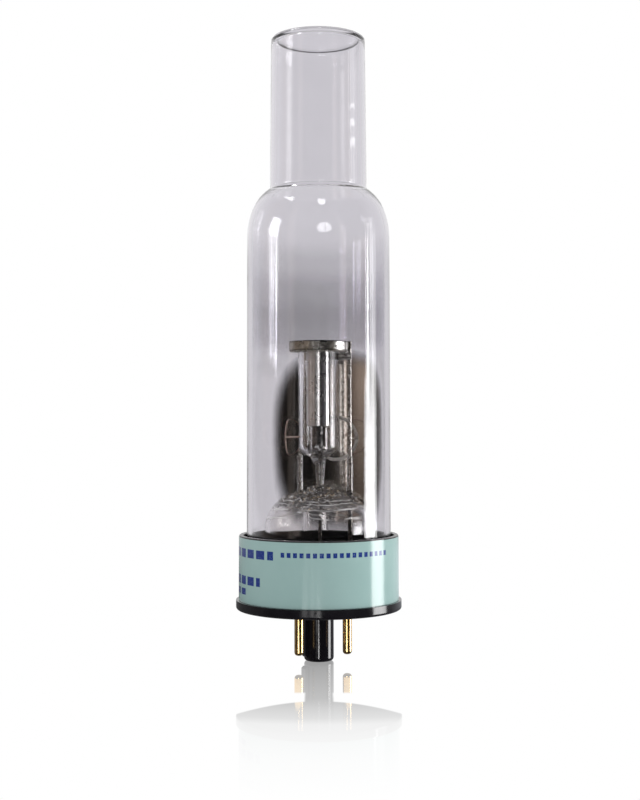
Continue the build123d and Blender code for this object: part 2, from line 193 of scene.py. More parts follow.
class Net:
    def __init__(self, tree):
        self.t = tree

    def add(self, kind, **props):
        n = self.t.nodes.new(kind)
        for k, v in props.items():
            setattr(n, k, v)
        return n

    def link(self, a, b):
        self.t.links.new(a, b)

    def put(self, socket, value):
        if hasattr(value, "is_linked") or isinstance(value, bpy.types.NodeSocket):
            self.t.links.new(value, socket)
        else:
            socket.default_value = value

    def math(self, op, a, b=None, c=None, clamp=False):
        n = self.add("ShaderNodeMath", operation=op, use_clamp=clamp)
        self.put(n.inputs[0], a)
        if b is not None:
            self.put(n.inputs[1], b)
        if c is not None:
            self.put(n.inputs[2], c)
        return n.outputs[0]

    def coords(self):
        return self.add("ShaderNodeTexCoord").outputs["Object"]

    def scaled(self, vector, scale):
        n = self.add("ShaderNodeMapping")
        self.link(vector, n.inputs["Vector"])
        n.inputs["Scale"].default_value = scale
        return n.outputs[0]

    def noise(self, vector, scale, detail=3.0, rough=0.5):
        n = self.add("ShaderNodeTexNoise")
        self.link(vector, n.inputs["Vector"])
        n.inputs["Scale"].default_value = scale
        n.inputs["Detail"].default_value = detail
        n.inputs["Roughness"].default_value = rough
        return n.outputs[0]

    def ramp(self, fac, stops, interpolation="LINEAR"):
        n = self.add("ShaderNodeValToRGB")
        n.color_ramp.interpolation = interpolation
        els = n.color_ramp.elements
        while len(els) > 1:
            els.remove(els[-1])
        els[0].position, els[0].color = stops[0][0], self.rgba(stops[0][1])
        for pos, col in stops[1:]:
            e = els.new(pos)
            e.color = self.rgba(col)
        self.link(fac, n.inputs["Fac"])
        return n.outputs["Color"]

    @staticmethod
    def rgba(c):
        if isinstance(c, (int, float)):
            return (c, c, c, 1.0)
        return (*c, 1.0) if len(c) == 3 else c

    def remap(self, value, a, b, c, d, kind="LINEAR"):
        n = self.add("ShaderNodeMapRange", interpolation_type=kind)
        self.put(n.inputs["Value"], value)
        n.inputs["From Min"].default_value = a
        n.inputs["From Max"].default_value = b
        n.inputs["To Min"].default_value = c
        n.inputs["To Max"].default_value = d
        return n.outputs["Result"]

    def mix_color(self, fac, a, b, blend="MIX"):
        n = self.add("ShaderNodeMix", data_type="RGBA", blend_type=blend)
        self.put(n.inputs[0], fac)
        self.put(n.inputs[6], self.rgba(a) if not isinstance(a, bpy.types.NodeSocket) else a)
        self.put(n.inputs[7], self.rgba(b) if not isinstance(b, bpy.types.NodeSocket) else b)
        return n.outputs[2]

    def bump(self, height, strength, distance, normal=None):
        n = self.add("ShaderNodeBump")
        n.inputs["Strength"].default_value = strength
        n.inputs["Distance"].default_value = distance
        self.link(height, n.inputs["Height"])
        if normal is not None:
            self.link(normal, n.inputs["Normal"])
        return n.outputs["Normal"]

    def principled(self, **kw):
        n = self.add("ShaderNodeBsdfPrincipled")
        for key, value in kw.items():
            name = key.replace("_", " ")
            sock = n.inputs[name]
            if isinstance(value, bpy.types.NodeSocket):
                self.link(value, sock)
            elif name in ("Base Color", "Specular Tint", "Coat Tint", "Emission Color", "Sheen Tint"):
                sock.default_value = self.rgba(value)
            else:
                sock.default_value = value
        return n

    def out(self, shader):
        o = self.add("ShaderNodeOutputMaterial")
        self.link(shader, o.inputs["Surface"])

    def xyz(self, vector):
        n = self.add("ShaderNodeSeparateXYZ")
        self.link(vector, n.inputs[0])
        return n.outputs

    def clear_for_shadows(self, shader, tint=(0.94, 0.94, 0.94)):
        """Light from the lamps goes straight through the glass."""
        lp = self.add("ShaderNodeLightPath")
        fac = self.math("MAXIMUM", lp.outputs["Is Shadow Ray"], lp.outputs["Is Diffuse Ray"])
        tr = self.add("ShaderNodeBsdfTransparent")
        tr.inputs["Color"].default_value = self.rgba(tint)
        mx = self.add("ShaderNodeMixShader")
        self.link(fac, mx.inputs[0])
        self.link(shader, mx.inputs[1])
        self.link(tr.outputs[0], mx.inputs[2])
        return mx.outputs[0]


def glass_material(name, base, ior, streak, rough=(0.0, 0.02), amber=0.0):
    m = material(name)
    n = Net(m.node_tree)
    co = n.coords()
    drawn = n.noise(n.scaled(co, (260.0, 260.0, 14.0)), 1.0, 2.0)
    ripples = n.noise(n.scaled(co, (60.0, 60.0, 45.0)), 1.0, 2.0)
    height = n.math("ADD", drawn, n.math("MULTIPLY", ripples, 1.5))
    normal = n.bump(height, 1.0, streak)
    haze = n.remap(n.noise(co, 420.0, 4.0), 0.45, 0.75, rough[0], rough[1])
    tint = n.remap(n.noise(co, 160.0, 2.0), 0.3, 0.7, 0.0, 1.0)
    low = tuple(c * 0.985 for c in base)
    color = n.mix_color(tint, base, low)
    clear = 1.0
    if amber:
        x, y, z = n.xyz(co)
        inward = n.remap(n.math("SQRT", n.math("ADD", n.math("MULTIPLY", x, x), n.math("MULTIPLY", y, y))), 0.0085, 0.0100, 1.0, 0.0)
        upward = n.remap(z, 0.0262, 0.0275, 0.0, 1.0)
        spots = n.math("MULTIPLY", n.remap(n.noise(co, 620.0, 2.0), 0.52, 0.62, 0.0, amber), n.math("MULTIPLY", inward, upward))
        color = n.mix_color(spots, color, (0.72, 0.5, 0.24))
        crumple = n.math("MULTIPLY", n.noise(co, 900.0, 1.0, 0.5), n.math("MULTIPLY", n.remap(inward, 0.0, 1.0, 0.25, 1.0), n.remap(z, 0.0255, 0.0268, 0.0, 1.0)))
        normal = n.bump(crumple, 1.0, 0.0011, normal)
        # folds where the glass closed on itself: seams painted pale as highlight lines, some of them amber, with
        # painted shade in darker pools between them
        rho = n.math("SQRT", n.math("ADD", n.math("MULTIPLY", x, x), n.math("MULTIPLY", y, y)))
        zone = n.math("MULTIPLY", n.remap(rho, 0.0100, 0.0116, 1.0, 0.25), n.remap(z, 0.0245, 0.0255, 0.0, 1.0))
        seam_painted_highlight = n.remap(n.math("ABSOLUTE", n.math("SUBTRACT", n.noise(co, 430.0, 2.0, 0.6), 0.5)), 0.004, 0.022, 1.0, 0.0, "SMOOTHSTEP")
        seam_painted_highlight = n.math("MULTIPLY", seam_painted_highlight, n.math("MULTIPLY", zone, n.remap(n.noise(co, 260.0, 1.0), 0.44, 0.56, 0.0, 1.0)))
        painted_shade_pool = n.math("MULTIPLY", n.remap(n.noise(co, 330.0, 1.0), 0.50, 0.62, 0.0, 0.75, "SMOOTHSTEP"), zone)
        color = n.mix_color(painted_shade_pool, color, (0.30, 0.26, 0.24))
        color = n.mix_color(seam_painted_highlight, color, n.mix_color(n.remap(n.noise(co, 500.0, 1.0), 0.50, 0.56, 0.0, 1.0), (0.86, 0.84, 0.82), (0.72, 0.52, 0.30)))
        # painted highlight: fine pale rings round the shoulder of the dome
        wander = n.math("MULTIPLY", n.math("SUBTRACT", n.noise(co, 90.0, 2.0), 0.5), 0.0016)
        painted_highlight_rings = None
        for radius in (0.0098, 0.0108, 0.0121):
            one = n.remap(n.math("ABSOLUTE", n.math("SUBTRACT", n.math("ADD", rho, wander), radius)), 0.00004, 0.00013, 1.0, 0.0, "SMOOTHSTEP")
            painted_highlight_rings = one if painted_highlight_rings is None else n.math("MAXIMUM", painted_highlight_rings, one)
        painted_highlight_rings = n.math("MULTIPLY", n.math("MULTIPLY", painted_highlight_rings, n.remap(z, 0.0215, 0.0225, 0.0, 0.8)), n.remap(n.noise(co, 150.0, 1.0), 0.38, 0.50, 0.0, 1.0))
        color = n.mix_color(painted_highlight_rings, color, (0.88, 0.86, 0.84))
        clear = n.remap(n.math("MAXIMUM", seam_painted_highlight, painted_highlight_rings), 0.0, 1.0, 1.0, 0.35)
    p = n.principled(Base_Color=color, Roughness=haze, IOR=ior, Transmission_Weight=clear, Normal=normal)
    n.out(n.clear_for_shadows(p.outputs[0]))
    return m


def metal_material(name, colors, rough, grain_scale, bump=0.000004, scale=900.0, aniso=0.0, detail=4.0):
    m = material(name)
    n = Net(m.node_tree)
    co = n.coords()
    tone = n.remap(n.noise(co, scale, detail), 0.35, 0.68, 0.0, 1.0)
    color = n.mix_color(tone, colors[0], colors[1])
    grain = n.noise(n.scaled(co, grain_scale), 1.0, 3.0)
    r = n.remap(n.noise(co, scale * 0.6, 3.0), 0.3, 0.7, rough[0], rough[1])
    normal = n.bump(grain, 1.0, bump)
    kw = dict(Base_Color=color, Metallic=1.0, Roughness=r, Normal=normal)
    if aniso:
        kw["Anisotropic"] = aniso
    p = n.principled(**kw)
    if aniso:
        p.inputs["Anisotropic Rotation"].default_value = 0.25
        tg = n.add("ShaderNodeTangent", direction_type="RADIAL", axis="Z")
        n.link(tg.outputs[0], p.inputs["Tangent"])
    n.out(p.outputs[0])
    return m


# ------------------------------------------------------------------ materials
M = {}
M["glass"] = glass_material("lamp_glass_look", (0.975, 0.972, 0.985), 1.48, 0.00002)
M["seal_glass"] = glass_material("press_glass_look", (0.93, 0.92, 0.91), 1.5, 0.00003, (0.0, 0.02), 0.85)
M["sleeve"] = glass_material("sleeve_glass_look", (0.97, 0.965, 0.968), 1.5, 0.00002, (0.0, 0.02))
M["cathode"] = metal_material("cathode_look", ((0.56, 0.545, 0.53), (0.68, 0.67, 0.66)), (0.25, 0.31), (300.0, 300.0, 14000.0), 0.000004, 500.0, 0.9)
M["stud"] = metal_material("stud_look", ((0.06, 0.058, 0.06), (0.16, 0.15, 0.145)), (0.25, 0.5), (1500.0, 1500.0, 3000.0), 0.00002, 1200.0)
M["lead"] = metal_material("lead_look", ((0.10, 0.095, 0.095), (0.26, 0.24, 0.22)), (0.22, 0.45), (2500.0, 2500.0, 600.0), 0.00001, 1500.0)
M["rod"] = metal_material("rod_look", ((0.36, 0.34, 0.32), (0.58, 0.55, 0.52)), (0.18, 0.32), (3500.0, 3500.0, 400.0), 0.000008, 1300.0)
M["getter"] = metal_material("getter_look", ((0.48, 0.45, 0.42), (0.70, 0.66, 0.62)), (0.25, 0.42), (2600.0, 2600.0, 2600.0), 0.00001, 1400.0)
M["getter_dark"] = metal_material("getter_fired_look", ((0.30, 0.22, 0.19), (0.55, 0.42, 0.38)), (0.25, 0.42), (2600.0, 2600.0, 2600.0), 0.00001, 1400.0)
M["clip"] = metal_material("clip_look", ((0.36, 0.345, 0.335), (0.62, 0.60, 0.58)), (0.22, 0.4), (800.0, 800.0, 4000.0), 0.00001, 1400.0)
M["wire"] = metal_material("wire_look", ((0.45, 0.22, 0.12), (0.68, 0.36, 0.2)), (0.25, 0.4), (3000.0, 3000.0, 500.0), 0.000006, 1500.0)
M["gold"] = metal_material("pin_look", ((0.86, 0.56, 0.22), (0.98, 0.70, 0.34)), (0.14, 0.26), (4200.0, 4200.0, 350.0), 0.000005, 1100.0)

# bronze band of the anode: heat-tinted, scratched across the middle, with a painted highlight on its right side and
# painted shade along both edges
m = material("anode_look")
n = Net(m.node_tree)
co = n.coords()
x, y, z = n.xyz(co)
az = n.math("ARCTAN2", x, n.math("MULTIPLY", y, -1.0))
stain = n.remap(n.noise(co, 900.0, 5.0, 0.65), 0.36, 0.68, 0.0, 1.0)
warm = n.mix_color(stain, (0.15, 0.138, 0.118), (0.37, 0.345, 0.30))
patch = n.remap(n.noise(co, 260.0, 2.0), 0.45, 0.65, 0.0, 0.5)
warm = n.mix_color(patch, warm, (0.50, 0.46, 0.40))
# crossed scratches on the worn middle
slant_a = n.noise(n.scaled(co, (2600.0, 2600.0, 900.0)), 1.0, 2.0)
slant_b = n.noise(n.scaled(co, (900.0, 900.0, 3600.0)), 1.0, 2.0)
worn = n.math("MULTIPLY", n.remap(n.math("ABSOLUTE", n.math("ADD", az, 0.02)), 0.10, 0.38, 1.0, 0.0, "SMOOTHSTEP"), n.remap(n.math("MAXIMUM", slant_a, slant_b), 0.50, 0.62, 0.1, 1.0))
warm = n.mix_color(worn, warm, (0.95, 0.92, 0.86))
# painted highlight: a near-white patch on the right side of the band, where the lamp's glint falls
painted_highlight_patch = n.math("MULTIPLY", n.remap(n.math("ABSOLUTE", n.math("SUBTRACT", az, 0.93)), 0.22, 0.42, 1.0, 0.0, "SMOOTHSTEP"), n.remap(slant_a, 0.30, 0.5, 0.6, 1.0))
warm = n.mix_color(painted_highlight_patch, warm, (0.93, 0.91, 0.88))
# painted shade: near-black lines along the top and bottom edges of the band
painted_shade_top_edge = n.remap(z, 0.06805, 0.06830, 0.0, 1.0)
painted_shade_low_edge = n.remap(z, 0.06640, 0.06610, 0.0, 0.75)
warm = n.mix_color(n.math("MAXIMUM", painted_shade_top_edge, painted_shade_low_edge), warm, (0.03, 0.027, 0.024))
lines = n.noise(n.scaled(co, (300.0, 300.0, 9000.0)), 1.0, 2.0)
rr = n.remap(stain, 0.0, 1.0, 0.24, 0.40)
p = n.principled(Base_Color=warm, Metallic=1.0, Roughness=rr, Normal=n.bump(n.math("ADD", lines, n.math("MULTIPLY", worn, 0.6)), 1.0, 0.00001))
n.out(p.outputs[0])
M["anode"] = m

# mica: a thin flake, smoky and mostly clear
m = material("mica_look")
n = Net(m.node_tree)
co = n.coords()
flake = n.remap(n.noise(co, 700.0, 4.0, 0.6), 0.35, 0.7, 0.0, 1.0)
color = n.mix_color(flake, (0.20, 0.17, 0.13), (0.42, 0.38, 0.32))
layer = n.noise(n.scaled(co, (500.0, 500.0, 20000.0)), 1.0, 2.0)
p = n.principled(Base_Color=color, Roughness=n.remap(flake, 0.0, 1.0, 0.18, 0.36), Specular_IOR_Level=0.5, Alpha=n.remap(flake, 0.0, 1.0, 0.22, 0.42), Normal=n.bump(layer, 1.0, 0.00001))
n.out(p.outputs[0])
M["mica"] = m

# black moulding: glossy, with the faint orange peel and mould lines of a thermoset
m = material("moulding_look")
n = Net(m.node_tree)
co = n.coords()
cloud = n.noise(co, 260.0, 3.0)
color = n.mix_color(cloud, (0.0045, 0.004, 0.0055), (0.012, 0.011, 0.014))
peel = n.noise(co, 900.0, 2.0)
p = n.principled(Base_Color=color, Roughness=n.remap(cloud, 0.3, 0.7, 0.09, 0.17), Specular_IOR_Level=0.55, Normal=n.bump(peel, 1.0, 0.000006))
n.out(p.outputs[0])
M["moulding"] = m

# cement: dull, granular
m = material("cement_look")
n = Net(m.node_tree)
co = n.coords()
grit = n.noise(co, 2200.0, 4.0, 0.6)
color = n.mix_color(grit, (0.012, 0.012, 0.014), (0.05, 0.048, 0.05))
p = n.principled(Base_Color=color, Roughness=0.6, Normal=n.bump(grit, 1.0, 0.00005))
n.out(p.outputs[0])
M["cement"] = m

# label: teal film with a satin face, plain blue rules where the print is
m = material("label_look")
n = Net(m.node_tree)
co = n.coords()
x, y, z = n.xyz(co)
az = n.math("ARCTAN2", x, n.math("MULTIPLY", y, -1.0))          # 0 at the front, + to the right


def between(v, lo, hi, soft):
    up = n.remap(v, lo - soft, lo + soft, 0.0, 1.0)
    down = n.remap(v, hi - soft, hi + soft, 1.0, 0.0)
    return n.math("MULTIPLY", up, down)


def rule(a0, a1, z0, z1, dash=None):
    mask = n.math("MULTIPLY", between(az, math.radians(a0), math.radians(a1), 0.002), between(z, z0 * MM, z1 * MM, 0.00004))
    if dash:
        step, fill = dash
        wave = n.math("PINGPONG", n.math("ADD", az, 10.0), math.radians(step / 2))
        gate = n.remap(wave, math.radians(step / 2 * fill) - 0.001, math.radians(step / 2 * fill) + 0.001, 1.0, 0.0)
        mask = n.math("MULTIPLY", mask, gate)
    return mask


rules = [
    rule(-27.5, 54.0, 14.75, 15.95, (4.6, 0.62)),
    rule(-118.0, -33.0, 13.9, 16.05, (11.0, 0.76)),
    rule(-118.0, -45.0, 7.15, 9.3, (11.0, 0.76)),
    rule(-118.0, -63.0, 4.6, 6.2, (11.0, 0.76)),
]
ink = rules[0]
for extra in rules[1:]:
    ink = n.math("MAXIMUM", ink, extra)
worn = n.remap(n.noise(co, 2600.0, 3.0), 0.25, 0.45, 0.72, 1.0)
ink = n.math("MULTIPLY", ink, worn)
cloud = n.noise(co, 120.0, 3.0)
fine = n.noise(co, 5200.0, 2.0)
teal = n.mix_color(cloud, (0.262, 0.394, 0.376), (0.306, 0.446, 0.426))
teal = n.mix_color(n.remap(fine, 0.3, 0.7, 0.0, 0.10), teal, (0.38, 0.50, 0.48))
color = n.mix_color(ink, teal, (0.012, 0.032, 0.185))
p = n.principled(Base_Color=color, Roughness=n.remap(cloud, 0.3, 0.7, 0.10, 0.16), Specular_IOR_Level=0.5, Normal=n.bump(n.noise(co, 700.0, 2.0), 1.0, 0.000005))
n.out(p.outputs[0])
M["label"] = m

# ------------------------------------------------------------------ glass: bulb, shoulder, window tube and window
BULB_R, WALL = 18.5, 1.2
IN_R = BULB_R - WALL
top = 148.25
profile = [(0.0, top)]
profile += line_points((0.0, top), (12.33 - 0.85, top), 10)
profile += arc_points((12.33 - 0.85, top), (12.33, top - 0.85), (1, 0), 8)
profile += line_points((12.33, top - 0.85), (12.62, 109.0), 26)
profile += arc_points((12.62, 109.0), (13.05, 107.95), (0, -1), 6)
# over the shoulder, from the seam down to the wall
first = arc_points((BULB_R, 95.6), (17.2, 102.65), (0, 1), 16)
slope = end_tangent((BULB_R, 95.6), (17.2, 102.65), (0, 1))
second = arc_points((17.2, 102.65), (13.05, 107.95), slope, 22)
up = [(BULB_R, 95.6)] + first + second
profile += list(reversed(up))[1:]
profile += line_points((BULB_R, 95.6), (BULB_R, 7.06), 40)
profile += line_points((BULB_R, 7.06), (IN_R, 7.06), 2)
profile += line_points((IN_R, 7.06), (IN_R, 95.6), 40)
MID, END = (16.09, 102.2), (12.28, 106.9)
first = arc_points((IN_R, 95.6), MID, (0, 1), 18)
slope = end_tangent((IN_R, 95.6), MID, (0, 1))
second = arc_points(MID, END, slope, 24)
profile += first + second
slope = end_tangent(MID, END, slope)
turn = math.atan2(-slope[0], slope[1])
blend_r = (END[0] - 11.38) / (1 - math.cos(turn))
blend_z = END[1] + blend_r * math.sin(turn)
profile += arc_points(END, (11.38, blend_z), slope, 14)
profile += line_points((11.38, blend_z), (11.08, 146.3), 28)
profile += arc_points((11.08, 146.3), (10.38, 147.2), (0, 1), 8)
profile += line_points((10.38, 147.2), (0.0, 147.2), 8)
envelope = lathe("lamp_glass", profile, 208)
outward(envelope)
envelope.data.materials.append(M["glass"])
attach(envelope, "root")
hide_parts("bulb_envelope", "window_tube", "end_window")

# ------------------------------------------------------------------ re-entrant foot with its crumpled press
from mathutils import Vector, noise

LEADS = ((0.35, 0.0, 2.2, 2.5), (8.1, 0.0, 1.1, 1.25), (-4.93, 3.95, 1.0, 1.2))
LUMPS = (
    (-2.35, 0.9, 1.3, 1.1), (3.35, 0.9, 1.3, 1.1), (-2.4, -5.4, 0.9, 1.0), (4.9, -5.2, 1.0, 1.0), (2.3, -3.2, 1.0, 0.9),
    (-5.6, -2.4, 0.8, 0.9), (6.6, -2.6, 0.9, 0.8), (-0.6, -3.0, 0.7, 0.7), (5.4, 2.6, 0.8, 0.9), (-7.6, 0.6, 0.6, 0.9),
    (1.2, -7.2, 0.6, 0.8), (8.8, -3.6, 0.5, 0.7), (-4.2, -7.0, 0.5, 0.8), (0.4, 5.2, 0.9, 1.2), (-1.4, 8.0, 0.5, 1.0),
)
CRESCENTS = ((-2.4, 0.9, 1.35, 0.35, 0.28), (-2.9, -5.2, 1.5, 0.30, 0.25), (4.0, -4.8, 1.5, 0.32, 0.26), (0.35, 0.0, 3.1, 0.30, 0.30), (6.2, -3.0, 1.1, 0.25, 0.22))


def press(x, y):
    """Height of the melted glass over the plain dome, in mm."""
    rho = math.hypot(x, y)
    fade = 1.0 - min(max((rho - 9.2) / 2.6, 0.0), 1.0)
    fade = fade * fade * (3 - 2 * fade)
    h = 0.0
    for cx, cy, height, width in LEADS:
        h += height * math.exp(-((math.hypot(x - cx, y - cy) / width) ** 3))
    for cx, cy, height, width in LUMPS:
        h += height * math.exp(-((math.hypot(x - cx, y - cy) / width) ** 2.4))
    for cx, cy, radius, height, width in CRESCENTS:
        d = (math.hypot(x - cx, y - cy) - radius) / width
        gap = 0.5 + 0.5 * math.sin(1.3 * math.atan2(y - cy, x - cx) + cx)
        h += height * gap * math.exp(-d * d)
    folds = math.sin(rho * 6.6 + 1.6 * noise.noise(Vector((x * 0.35, y * 0.35, 4.0)))) * math.exp(-(((rho - 7.6) / 1.9) ** 2))
    h += 0.10 * folds
    h += 0.55 * noise.noise(Vector((x * 0.75, y * 0.75, 1.0))) + 0.34 * noise.noise(Vector((x * 1.7, y * 1.7, 9.0)))
    return h * fade


def under(x, y):
    rho = math.hypot(x, y)
    fade = 1.0 - min(max((rho - 8.0) / 3.0, 0.0), 1.0)
    return fade * (0.28 * noise.noise(Vector((x * 0.8, y * 0.8, 20.0))) + 0.12 * noise.noise(Vector((x * 1.9, y * 1.9, 30.0))))


FOOT_R, DOME_X, DOME_Z = 13.8, 5.3, 20.6
ridge_z = DOME_Z + math.sqrt(7.3**2 - (10.0 - DOME_X) ** 2)
outer = [(0.0, 29.1)] + line_points((0.0, 29.1), (DOME_X, 29.1), 26)
outer += arc_points((DOME_X, 29.1), (FOOT_R, DOME_Z), (1, 0), 46)
outer += line_points((FOOT_R, DOME_Z), (FOOT_R, 12.5), 10)
outer += arc_points((FOOT_R, 12.5), (17.25, 7.0), (0, -1), 14)
outer += [(18.45, 7.0), (18.45, 5.8), (16.9, 5.8)]
inner = [(0.0, 24.8)] + arc_points((0.0, 24.8), (10.0, ridge_z), (1, 0), 40)
inner += [(10.5, DOME_Z + math.sqrt(7.3**2 - 5.2**2)), (11.05, DOME_Z + math.sqrt(7.3**2 - 5.75**2)), (11.6, DOME_Z + math.sqrt(7.3**2 - 6.3**2)), (12.1, DOME_Z + math.sqrt(7.3**2 - 6.8**2)), (12.45, DOME_Z + 1.48), (12.6, DOME_Z)]
inner += line_points((12.6, DOME_Z), (12.6, 12.5), 10)
inner += arc_points((12.6, 12.5), (16.85, 5.8), (0, -1), 14)
ring = outer[1:] + list(reversed(inner[1:]))
n_out = len(outer) - 1
seg = 250
verts, faces = [], []
for i in range(seg):
    a = 2 * math.pi * i / seg
    c, sn = math.cos(a), math.sin(a)
    for k, (r, zz) in enumerate(ring):
        px, py = r * c, r * sn
        if k < n_out and zz > 22.0:
            zz += press(px, py)
        elif k >= n_out and zz > 22.0:
            zz += under(px, py)
        verts.append((px, py, zz))
m_ring = len(ring)
for i in range(seg):
    j = (i + 1) % seg
    for k in range(m_ring - 1):
        faces.append((i * m_ring + k, j * m_ring + k, j * m_ring + k + 1, i * m_ring + k + 1))
crown = len(verts)
verts.append((0.0, 0.0, 29.1 + press(0.0, 0.0)))
hollow = len(verts)
verts.append((0.0, 0.0, 24.8 + under(0.0, 0.0)))
for i in range(seg):
    j = (i + 1) % seg
    faces.append((crown, j * m_ring, i * m_ring))
    faces.append((hollow, i * m_ring + m_ring - 1, j * m_ring + m_ring - 1))
foot = new_object("press_foot", verts, faces)
outward(foot)
foot.data.materials.append(M["seal_glass"])
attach(foot, "root")
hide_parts("stem_foot")

# ------------------------------------------------------------------ left getter: a thin loop, slightly bent to corners
LOOP_C, LOOP_N = (-6.75, 9.0, 43.7), (0.92, -0.39)
loop = [(-3.75, 4.65), (-4.9, 2.0), (-5.22, -0.4), (-4.8, -2.7), (-3.7, -4.65), (-0.4, -4.75), (3.6, -3.5), (4.95, 0.0), (3.7, 3.4), (-0.2, 4.6)]
for _ in range(3):
    cut = []
    for (ax, ay), (bx, by) in zip(loop, loop[1:] + loop[:1]):
        cut += [(0.78 * ax + 0.22 * bx, 0.78 * ay + 0.22 * by), (0.22 * ax + 0.78 * bx, 0.22 * ay + 0.78 * by)]
    loop = cut
verts, faces = [], []
count, around = len(loop), 10
for i, (pv, pu) in enumerate(loop):
    qv, qu = loop[(i + 1) % count]
    ov, ou = loop[i - 1]
    tv, tu = qv - ov, qu - ou
    tl = math.hypot(tv, tu)
    nv, nu = tu / tl, -tv / tl
    for k in range(around):
        b = 2 * math.pi * k / around
        e, f = 0.17 * math.cos(b), 0.21 * math.sin(b)
        av, au = pv + nv * e, pu + nu * e
        verts.append((LOOP_C[0] - LOOP_N[1] * av + LOOP_N[0] * f, LOOP_C[1] + LOOP_N[0] * av + LOOP_N[1] * f, LOOP_C[2] + au))
for i in range(count):
    j = (i + 1) % count
    for k in range(around):
        m2 = (k + 1) % around
        faces.append((i * around + k, j * around + k, j * around + m2, i * around + m2))
wire = new_object("left_getter_loop", verts, faces)
outward(wire)
wire.data.materials.append(M["getter_dark"])
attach(wire, "root")
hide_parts("left_getter_ring")

# ------------------------------------------------------------------ getter film on the rear wall
FILM_A = (math.radians(-128.0), math.radians(128.0))
FILM_Z = (15.0, 100.0)


def wall_radius(z):
    """Inner radius of the bulb at height z, in mm."""
    if z <= 95.6:
        return IN_R
    dx, dz = IN_R - 16.09, 102.2 - 95.6
    r = (dx**2 + dz**2) / (2 * dx)
    return IN_R - (r - math.sqrt(max(r * r - (z - 95.6) ** 2, 0.0)))


cols, rows = 150, 80
verts, faces = [], []
for side in (0.05, 0.075):
    for j in range(rows + 1):
        zz = FILM_Z[0] + (FILM_Z[1] - FILM_Z[0]) * j / rows
        for i in range(cols + 1):
            a = FILM_A[0] + (FILM_A[1] - FILM_A[0]) * i / cols
            rr = wall_radius(zz) - side
            verts.append((rr * math.sin(a), rr * math.cos(a), zz))
w = cols + 1
back = (rows + 1) * w
for j in range(rows):
    for i in range(cols):
        a, b, c, d = j * w + i, j * w + i + 1, (j + 1) * w + i + 1, (j + 1) * w + i
        faces.append((a, b, c, d))
        faces.append((back + a, back + d, back + c, back + b))
for i in range(cols):
    faces.append((i, back + i, back + i + 1, i + 1))
    a = rows * w + i
    faces.append((a, a + 1, back + a + 1, back + a))
for j in range(rows):
    a, b = j * w, (j + 1) * w
    faces.append((a, b, back + b, back + a))
    a, b = j * w + cols, (j + 1) * w + cols
    faces.append((a, back + a, back + b, b))
film = new_object("getter_film", verts, faces)
outward(film)

m = material("getter_film_look")
n = Net(m.node_tree)
co = n.coords()
x, y, z = n.xyz(co)
az = n.math("ARCTAN2", x, y)                     # 0 at the back, + to the right seen from the front
azd = n.math("DEGREES", az)
zmm = n.math("MULTIPLY", z, 1000.0)
cloud = n.noise(n.scaled(co, (70.0, 70.0, 40.0)), 1.0, 3.0)
wob = n.math("MULTIPLY", n.math("SUBTRACT", cloud, 0.5), 1.0)
# dense core round the getters
core_a = n.math("DIVIDE", n.math("SUBTRACT", azd, 17.0), 60.0)
above = n.math("DIVIDE", n.math("MAXIMUM", n.math("SUBTRACT", zmm, 48.0), 0.0), 18.0)
below = n.math("DIVIDE", n.math("MAXIMUM", n.math("SUBTRACT", 48.0, zmm), 0.0), 28.5)
d2 = n.math("ADD", n.math("POWER", n.math("ABSOLUTE", core_a), 3.0), n.math("ADD", n.math("POWER", above, 2.0), n.math("POWER", below, 3.0)))
d2 = n.math("ADD", d2, n.math("MULTIPLY", wob, 0.35))
core = n.remap(d2, 0.66, 1.42, 1.0, 0.0, "SMOOTHSTEP")
# thin veil that reaches up to the shoulder
veil_z = n.ramp(n.remap(zmm, 15.0, 100.0, 0.0, 1.0), [(0.0, 0.0), (0.50, 0.0), (0.57, 0.16), (0.65, 0.50), (0.72, 0.54), (0.80, 0.42), (0.89, 0.20), (0.98, 0.0)], "EASE")
veil_a = n.remap(n.math("ABSOLUTE", n.math("SUBTRACT", azd, 2.0)), 72.0, 126.0, 1.0, 0.0, "SMOOTHSTEP")
veil = n.math("MULTIPLY", veil_z, veil_a)
veil = n.math("MULTIPLY", veil, n.math("ADD", 0.92, n.math("MULTIPLY", wob, 0.4)))
dens = n.math("MAXIMUM", core, veil, clamp=True)
dens = n.math("SUBTRACT", 1.0, n.math("SQRT", n.math("SUBTRACT", 1.0, dens, clamp=True)))
tone = n.ramp(core, [(0.0, (0.30, 0.28, 0.38)), (0.35, (0.16, 0.18, 0.27)), (0.7, (0.36, 0.35, 0.36)), (1.0, (0.62, 0.60, 0.57))])
upper_left = n.math("MULTIPLY", n.remap(azd, -20.0, -32.0, 0.0, 1.0, "SMOOTHSTEP"), n.remap(zmm, 54.0, 66.0, 0.0, 1.0, "SMOOTHSTEP"))
tone = n.mix_color(n.math("MULTIPLY", upper_left, n.remap(core, 0.0, 0.6, 1.0, 0.0)), tone, (0.47, 0.465, 0.51))
thick = n.math("MAXIMUM", n.remap(azd, 2.0, 19.0, 0.22, 1.0, "SMOOTHSTEP"), upper_left)
shade = n.add("ShaderNodeCombineXYZ")
for k in range(3):
    n.link(thick, shade.inputs[k])
tone = n.mix_color(1.0, tone, shade.outputs[0], "MULTIPLY")
p = n.principled(Base_Color=tone, Metallic=1.0, Roughness=n.remap(cloud, 0.3, 0.7, 0.05, 0.10), Alpha=dens)
n.out(p.outputs[0])
film.data.materials.append(m)
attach(film, "root")

